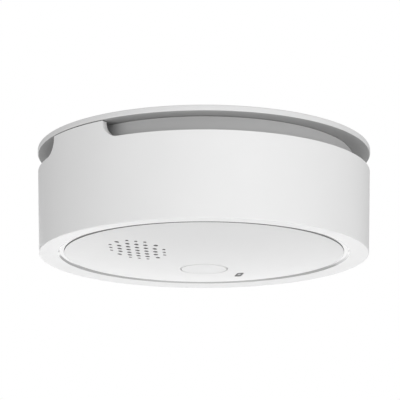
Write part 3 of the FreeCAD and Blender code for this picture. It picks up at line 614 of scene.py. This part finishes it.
def cover():
    """Tapered wall, bottom ring and lugs as one closed shell with rounded edges."""
    section = rounded([
        (wall_radius(RING_FACE), RING_FACE, 0.3 * MM),
        (RING_INNER, RING_EDGE, 0.06 * MM),
        (RING_INNER - GROOVE_DEPTH, RING_EDGE + GROOVE_DEPTH, 0.15 * MM),
        (PANEL_RADIUS + 0.1 * MM, RING_EDGE + GROOVE_DEPTH, 0.0),
        (PANEL_RADIUS + 0.1 * MM, LIP_UNDER, 0.0),
        (LIP_RADIUS, LIP_UNDER, 0.0),
        (LIP_RADIUS, RING_BACK, 0.1 * MM),
        (wall_radius(RING_BACK) - COVER_WALL, RING_BACK, 0.5 * MM),
        (wall_radius(SLOT_FLOOR) - COVER_WALL, SLOT_FLOOR - 8 * MM, 0.0),
        (wall_radius(SLOT_FLOOR), SLOT_FLOOR - 8 * MM, 0.0),
    ], 5)[:-2]
    rim = cover_rim()
    work = bmesh.new()
    columns = []
    for angle, levels in rim:
        ray = Vector((math.cos(angle), math.sin(angle), 0))
        low = [work.verts.new(ray * radius + Vector((0, 0, level))) for radius, level in section]
        outer = [work.verts.new(ray * wall_radius(level) + Vector((0, 0, level))) for level in levels]
        inner = [work.verts.new(ray * (wall_radius(level) - COVER_WALL) + Vector((0, 0, level)))
                 for level in levels]
        columns.append((low, outer, inner))
    crest = []
    for index, (low, outer, inner) in enumerate(columns):
        low_next, outer_next, inner_next = columns[(index + 1) % len(columns)]
        for row in range(len(low) - 1):
            work.faces.new((low[row], low_next[row], low_next[row + 1], low[row + 1]))
        for foot, foot_next, top, top_next in ((low[0], low_next[0], outer, outer_next),
                                               (low[-1], low_next[-1], inner, inner_next)):
            face = [foot, foot_next]
            if len(top_next) == 2 and top_next[0].co.z > top_next[1].co.z:
                face.append(top_next[1])
            face += [top_next[0], top[-1]]
            if len(top) == 2 and top[-1].co.z > top[0].co.z:
                face.append(top[0])
            work.faces.new(face)
        pairs = [(outer[-1], outer_next[0], inner[-1], inner_next[0])]
        if len(outer) == 2:
            pairs.append((outer[0], outer[1], inner[0], inner[1]))
        for a, b, c, d in pairs:
            work.faces.new((a, b, d, c))
            crest += [(a, b), (c, d)]
    bmesh.ops.recalc_face_normals(work, faces=work.faces)
    edges = [work.edges.get(pair) for pair in crest]
    bmesh.ops.bevel(work, geom=edges, offset=0.2 * MM, offset_type="OFFSET", segments=3, profile=0.5,
                    affect="EDGES", clamp_overlap=True)
    inner_end, outer_end = drum_high.x + 0.2 * MM, RING_RADIUS - COVER_WALL + 0.8 * MM
    size = Matrix.Diagonal((outer_end - inner_end, 1.6 * MM, SPACER_HEIGHT, 1))
    middle = Matrix.Translation(((inner_end + outer_end) / 2, 0, RING_BACK - 0.2 * MM + SPACER_HEIGHT / 2))
    for spacer in range(8):
        turn = Matrix.Rotation(math.radians(22.5) + TURN * spacer / 8, 4, "Z")
        bmesh.ops.create_cube(work, size=1, matrix=turn @ middle @ size)
    mesh = bpy.data.meshes.new("cover_shell")
    work.to_mesh(mesh)
    work.free()
    piece = bpy.data.objects.new("cover_shell", mesh)
    scene.collection.objects.link(piece)
    tidy_mesh(piece, 40)
    weighted_normals(piece)
    paint(piece, shell_white)
    # Painted shade: the groove floor faces get the darker, glossier grey.
    piece.data.materials.append(groove_gloss_painted_shade)
    groove_bottom = RING_EDGE + 1.02 * GROOVE_DEPTH
    for polygon in piece.data.polygons:
        spot = polygon.center
        if PANEL_RADIUS < spot.xy.length < RING_INNER and RING_EDGE < spot.z < groove_bottom:
            polygon.material_index = 1
    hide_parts("front_cover")
    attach(piece, "alarm_head")
    return piece


# ---------------------------------------------------------------- domed panel


def grille_holes():
    """Seven by seven holes without the corners; the edge holes are smaller, the diagonals pushed out."""
    holes = []
    for row in range(-3, 4):
        for column in range(-3, 4):
            if abs(row) + abs(column) > 4:
                continue
            step = GRILLE_CORNER if abs(row) == 2 and abs(column) == 2 else GRILLE_PITCH
            small = max(abs(row), abs(column)) == 3
            radius = (0.55 if small else 0.75) * MM
            points = ring_points(GRILLE.x + step * column, GRILLE.y + step * row, radius, 20)
            holes.append((points, 0.1 * MM, 0.05 * MM))
    return holes


def dome_normals(piece):
    """Exact normals wherever a corner lies on the outer dome."""
    mesh = piece.data
    normals = [Vector(normal.vector) for normal in mesh.corner_normals]
    for polygon in mesh.polygons:
        if polygon.normal.z > -0.5:
            continue
        for loop in polygon.loop_indices:
            spot = mesh.vertices[mesh.loops[loop].vertex_index].co
            if abs(spot.z - dome(spot.xy.length)) < 1e-6:
                normals[loop] = Vector((spot.x / DOME_CURVE, spot.y / DOME_CURVE, -1)).normalized()
    mesh.normals_split_custom_set(normals)


def panel():
    """Domed panel with its holes, and behind it the button's collar, the sounder's seat and the posts."""
    holes = grille_holes()
    holes.append((ring_points(0, 0, BUTTON_HOLE, 120), 0.25 * MM, 0.1 * MM))
    holes.append((lens_points(0.05 * MM), 0.15 * MM, 0.05 * MM))
    rim = (ring_points(0, 0, PANEL_RADIUS, SEGMENTS), 0.05 * MM, 0.05 * MM)
    rim_back = LIP_UNDER - 0.05 * MM
    shoulder = LIP_RADIUS - 0.2 * MM

    def back(radius):
        return rim_back if radius > shoulder - 0.2 * MM else dome(radius, PANEL_THICKNESS)
    skin = perforated(rim, holes, dome, back, 1.6 * MM)
    collar_outer = BUTTON_FLANGE + 1.7 * MM
    collar_top = APEX + PANEL_THICKNESS + 3.5 * MM
    shells = [skin]
    shells.append(lathe([(collar_outer, dome(collar_outer, 1.0 * MM)), (collar_outer, collar_top),
                         (collar_outer - 1.5 * MM, collar_top),
                         (collar_outer - 1.5 * MM, dome(0, 1.2 * MM))], count=96))
    shells.append(lathe([(shoulder, LIP_UNDER - 0.3 * MM), (shoulder, RING_BACK),
                         (shoulder - 1.4 * MM, RING_BACK), (shoulder - 1.4 * MM, dome(shoulder, 1.2 * MM))]))
    seat = (membrane_high.x - membrane_low.x) / 2 + 1.5 * MM
    foot = dome(GRILLE.xy.length, 2.6 * MM)
    seat_verts, seat_faces = lathe([(seat, foot), (seat, RING_BACK), (seat - 1.2 * MM, RING_BACK),
                                    (seat - 1.2 * MM, foot)], GRILLE.x, GRILLE.y, 96)
    seat_verts = [(x, y, dome(math.hypot(x, y), 1.2 * MM) if abs(z - foot) < 1e-7 else z)
                  for x, y, z in seat_verts]
    shells.append((seat_verts, seat_faces))
    post_top = panel_high.z
    post_foot = -37.2 * MM
    bore_end = post_foot + 1.0 * MM
    post_radius, bore_radius = 3.6 * MM, 1.45 * MM
    for quarter in range(4):
        angle = TURN * quarter / 4
        shells.append(lathe([(bore_radius, bore_end), (bore_radius, post_top), (post_radius, post_top),
                             (post_radius, post_foot), (0.0, post_foot), (0.0, bore_end)],
                            POST_CIRCLE * math.cos(angle), POST_CIRCLE * math.sin(angle), 40))
    piece = finish_mesh("dome_panel", *merge(*shells))
    dome_normals(piece)
    paint(piece, panel_white)
    # Painted shade: the hole walls and the panel's rim wall get the dark grey that stands in for their
    # shade.
    piece.data.materials.append(painted_recess_shade)
    centres = [sum((Vector(p) for p in points), Vector((0, 0))) / len(points) for points, _, _ in holes[:-2]]
    for polygon in piece.data.polygons:
        spot = polygon.center
        if abs(polygon.normal.z) > 0.8 or spot.z > LIP_UNDER:
            continue
        in_hole = any((spot.xy - centre).length < 0.9 * MM for centre in centres)
        if in_hole or spot.xy.length > PANEL_RADIUS - 0.03 * MM:
            polygon.material_index = 1
    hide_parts("front_panel")
    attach(piece, "alarm_head")
    return piece


def button():
    """Flush button with a softly rounded edge."""
    face = button_low.z
    seat = APEX + PANEL_THICKNESS + 0.25 * MM
    profile = rounded([
        (0.0, face, 0), (BUTTON_RADIUS, face, 0.3 * MM), (BUTTON_RADIUS, seat, 0), (BUTTON_FLANGE, seat, 0),
        (BUTTON_FLANGE, seat + 1.0 * MM, 0.15 * MM), (STEM_RADIUS, seat + 1.0 * MM, 0),
        (STEM_RADIUS, button_high.z, 0.2 * MM), (0.0, button_high.z, 0)], 5)
    piece = finish_mesh("push_button", *lathe(profile, count=160))
    weighted_normals(piece)
    paint(piece, button_white)
    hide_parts("test_button")
    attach(piece, "test_button")
    return piece


def lens():
    """Smoked lens with its flange, both following the dome."""
    flange = 1.1 * MM
    top = APEX + 4 * MM
    body = perforated((lens_points(), 0.15 * MM, 0.05 * MM), [],
                      lambda r: dome(r, 0.1 * MM), lambda r: top, 0.8 * MM)
    skirt = perforated((lens_points(flange), 0.05 * MM, 0.05 * MM), [],
                       lambda r: dome(r, PANEL_THICKNESS + 0.05 * MM),
                       lambda r: top - 0.01 * MM, 1.0 * MM)
    piece = finish_mesh("lens_window", *merge(body, skirt))
    paint(piece, smoked)
    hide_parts("indicator_lens")
    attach(piece, "alarm_head")
    return piece


# ---------------------------------------------------------------- ceiling plate


def plate():
    """Ceiling plate with rounded rim, screw slots, mould windows, centring rib and hooks."""
    holes = []
    for sign in (1, -1):
        offset = SCREW_SLOT_PLACE * sign
        holes.append((pill_points(offset, 0, *SCREW_SLOT_HALF, 40, along_x=True), 0.2 * MM, 0.3 * MM))
        holes.append((pill_points(0, offset, *SCREW_SLOT_HALF, 40), 0.2 * MM, 0.3 * MM))
    hook_angle = math.radians(10)
    foot_inner, neck_inner, neck_outer = 41.9 * MM, 45.1 * MM, 46.9 * MM
    for quarter in range(4):
        middle = math.radians(45) + TURN * quarter / 4
        holes.append((sector_points(foot_inner, neck_inner, middle, hook_angle / 2), 0.08 * MM, 0.15 * MM))
    rim = (ring_points(0, 0, PLATE_RADIUS, SEGMENTS), 0.4 * MM, 0.4 * MM)
    shells = [perforated(rim, holes, lambda r: PLATE_UNDER, lambda r: plate_high.z, 3.0 * MM, 4)]
    rib = drum_high.x - 2.3 * MM
    rib_inside = rib - 1.2 * MM
    rib_bottom = PLATE_UNDER - 2.4 * MM
    root = PLATE_UNDER + 0.3 * MM
    shells.append(lathe([(rib, root), (rib, rib_bottom), (rib_inside, rib_bottom), (rib_inside, root)]))
    foot_top = HOOK_BOTTOM + 1.4 * MM
    for quarter in range(4):
        middle = math.radians(45) + TURN * quarter / 4
        shells.append(lathe([(neck_inner, root), (neck_outer, root), (neck_outer, HOOK_BOTTOM),
                             (foot_inner, HOOK_BOTTOM), (foot_inner, foot_top), (neck_inner, foot_top)],
                            count=12, start=middle - hook_angle / 2, sweep=hook_angle))
    piece = finish_mesh("ceiling_plate", *merge(*shells))
    weighted_normals(piece)
    paint(piece, plate_white)
    # Painted shade: the downward faces inside the rim get the greyer material.
    piece.data.materials.append(plate_under_painted_shade)
    for polygon in piece.data.polygons:
        spot = polygon.center
        in_rim = spot.xy.length < PLATE_RADIUS - 0.3 * MM
        if in_rim and polygon.normal.z < -0.7 and spot.z < PLATE_UNDER + 0.1 * MM:
            polygon.material_index = 1
    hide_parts("mounting_plate")
    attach(piece, "ceiling_base")
    return piece


def membrane():
    """Dust cloth behind the sounder holes, a thin dished sheet."""
    radius = (membrane_high.x - membrane_low.x) / 2
    inset = PANEL_THICKNESS + 0.05 * MM
    verts, faces = perforated((ring_points(GRILLE.x, GRILLE.y, radius, 64), 0.03 * MM, 0.03 * MM), [],
                              lambda r: dome(r, inset), lambda r: dome(r, inset + 0.3 * MM), 1.5 * MM)
    piece = finish_mesh("dust_membrane", verts, faces)
    paint(piece, membrane_cloth)
    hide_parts("grille_membrane")
    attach(piece, "alarm_head")
    return piece


cover()
panel()
button()
lens()
plate()
membrane()
for node, material in NODE_LOOKS.items():
    paint(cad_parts[node], material)

# ---------------------------------------------------------------- floor, light and camera

FLOOR_DROP = 1.0
FLOOR_SIZE = 8.0
SKY = 0.4
LIGHT_DISTANCE = 1.5


def floor():
    """Pale, faintly glowing floor far below. Only the camera sees it, so light from below passes it."""
    bpy.ops.mesh.primitive_grid_add(x_subdivisions=2, y_subdivisions=2, size=FLOOR_SIZE,
                                    location=(0, 0, -FLOOR_DROP))
    piece = bpy.context.object
    piece.name = "floor"
    piece.visible_diffuse = False
    piece.visible_glossy = False
    piece.visible_shadow = False
    pale = moulded("pale_floor", (0.85, 0.85, 0.85), roughness=0.8, grain=0.0)
    shader = next(node for node in pale.node_tree.nodes if node.type == "BSDF_PRINCIPLED")
    shader.inputs["Emission Color"].default_value = (0.9, 0.9, 0.9, 1.0)
    shader.inputs["Emission Strength"].default_value = 0.35
    paint(piece, pale)


def daylight():
    """White studio: an even dim sky, a plain white backdrop and five soft lights."""
    world = bpy.data.worlds.new("studio")
    scene.world = world
    world.use_nodes = True
    nodes, links = world.node_tree.nodes, world.node_tree.links
    looked_at = nodes.new("ShaderNodeLightPath")
    mix = nodes.new("ShaderNodeMix")
    links.new(looked_at.outputs["Is Camera Ray"], mix.inputs["Factor"])
    mix.inputs["A"].default_value = SKY
    mix.inputs["B"].default_value = 1.0
    nodes["Background"].inputs["Color"].default_value = (1, 1, 1, 1)
    links.new(mix.outputs["Result"], nodes["Background"].inputs["Strength"])
    soft_light("front_left_light", heading=225, height=-25, width=1.4, power=8)
    soft_light("front_right_light", heading=325, height=-25, width=1.4, power=11)
    soft_light("back_light", heading=100, height=-10, width=1.2, power=7)
    soft_light("under_light", heading=270, height=-85, width=1.5, power=5)
    soft_light("top_light", heading=285, height=35, width=1.5, power=8)


def soft_light(name, heading, height, width, power):
    """Square soft light facing the alarm: heading and height in degrees, width in metres, power in watts."""
    data = bpy.data.lights.new(name, "AREA")
    data.size = width
    data.energy = power
    light = bpy.data.objects.new(name, data)
    scene.collection.objects.link(light)
    turn, rise = math.radians(heading), math.radians(height)
    outward = Vector((math.cos(rise) * math.cos(turn), math.cos(rise) * math.sin(turn), math.sin(rise)))
    light.location = outward * LIGHT_DISTANCE
    light.rotation_euler = outward.to_track_quat("Z", "Y").to_euler()
    light.visible_camera = False


def camera():
    """Below the alarm, looking up past its front edge."""
    lens_length = 162.0
    aim = -38.2 * MM
    distance = 643.8 * MM
    below = math.radians(12.21)
    side = math.radians(-88.25)
    heading = math.radians(91.88)
    pitch = math.radians(13.99)
    data = bpy.data.cameras.new("camera")
    data.lens = lens_length
    data.sensor_width = 36.0
    data.clip_start = 0.01
    holder = bpy.data.objects.new("camera", data)
    scene.collection.objects.link(holder)
    spot = Vector((math.cos(below) * math.cos(side), math.cos(below) * math.sin(side), -math.sin(below)))
    position = Vector((0, 0, aim)) + spot * distance
    level = math.cos(pitch)
    ahead = Vector((math.cos(heading) * level, math.sin(heading) * level, math.sin(pitch)))
    right = ahead.cross(Vector((0, 0, 1))).normalized()
    up = right.cross(ahead)
    axes = Matrix((right, up, -ahead)).transposed().to_4x4()
    holder.matrix_world = Matrix.Translation(position) @ axes
    scene.camera = holder


floor()
daylight()
camera()
